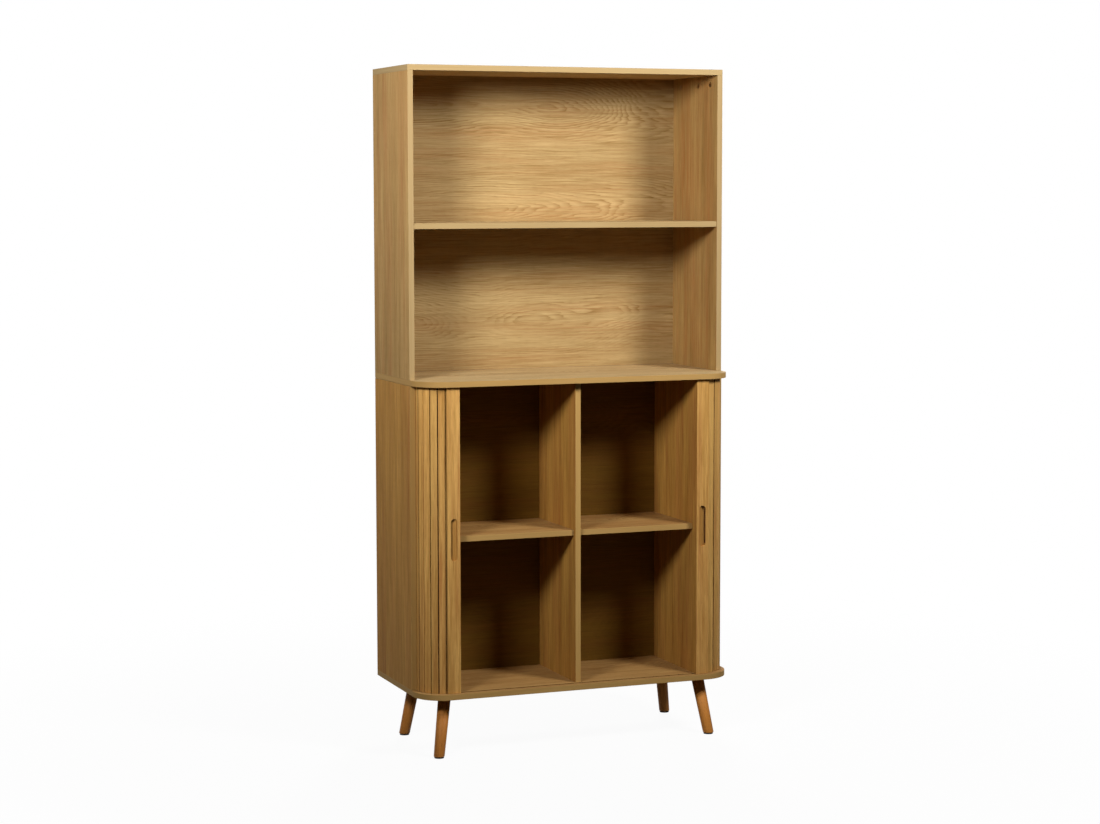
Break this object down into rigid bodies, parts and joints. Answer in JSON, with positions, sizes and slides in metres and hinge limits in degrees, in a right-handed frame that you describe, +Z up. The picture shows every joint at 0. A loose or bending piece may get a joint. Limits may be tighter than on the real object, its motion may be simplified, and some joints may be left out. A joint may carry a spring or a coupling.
{
  "type": "bookcase",
  "caption": "Tall bookcase: an open hutch with a shelf, on a cabinet with slatted roll-round sliding doors, rounded front corners and splayed round legs.",
  "frame": {"origin": "on the floor, under the middle of the cabinet's boards", "axes": "+Z up, +X to the right of someone facing the open front, +Y to the rear"},
  "size_m": [0.9, 0.396, 1.818],
  "materials": {
    "board": "satin",
    "thin_panel": "satin",
    "slat": "satin",
    "leg_wood": "satin",
    "dowel": "matte",
    "canvas": "matte",
    "steel": "satin",
    "insert": "satin",
    "cam": "satin",
    "glide": "matte"
  },
  "bodies": {
    "carcass": {"cabinet_bottom": "board", "cabinet_cam_bolts": "steel", "cabinet_cams": "cam", "cabinet_dowels": "dowel", "cabinet_rear_panel": "thin_panel", "cabinet_side_left": "board", "cabinet_side_right": "board", "cabinet_top": "board", "divider": "board", "glide_front_left": "glide", "glide_front_right": "glide", "glide_rear_left": "glide", "glide_rear_right": "glide", "half_shelf_left": "board", "half_shelf_pins": "steel", "half_shelf_right": "board", "hutch_back": "thin_panel", "hutch_base_screws": "steel", "hutch_cam_bolts": "steel", "hutch_cams": "cam", "hutch_dowels": "dowel", "hutch_shelf": "board", "hutch_side_left": "board", "hutch_side_right": "board", "hutch_top": "board", "inner_back": "thin_panel", "inner_wall_left": "board", "inner_wall_right": "board", "left_corner_slat_1": "slat", "left_corner_slat_2": "slat", "left_corner_slat_3": "slat", "left_corner_slat_4": "slat", "left_corner_slat_5": "slat", "left_curtain_canvas": "canvas", "left_pocket_slats": "slat", "leg_bolts": "steel", "leg_front_left": "leg_wood", "leg_front_right": "leg_wood", "leg_inserts": "insert", "leg_rear_left": "leg_wood", "leg_rear_right": "leg_wood", "right_corner_slat_1": "slat", "right_corner_slat_2": "slat", "right_corner_slat_3": "slat", "right_corner_slat_4": "slat", "right_corner_slat_5": "slat", "right_curtain_canvas": "canvas", "right_pocket_slats": "slat"},
    "left_door": {"left_lead_slat": "slat"},
    "right_door": {"right_lead_slat": "slat"}
  },
  "joints": [
    {"name": "left_door_slide", "type": "slide", "parent": "carcass", "child": "left_door", "axis": [1, 0, 0], "range_m": [0, 0.339]},
    {"name": "right_door_slide", "type": "slide", "parent": "carcass", "child": "right_door", "axis": [-1, 0, 0], "range_m": [0, 0.339]}
  ]
}
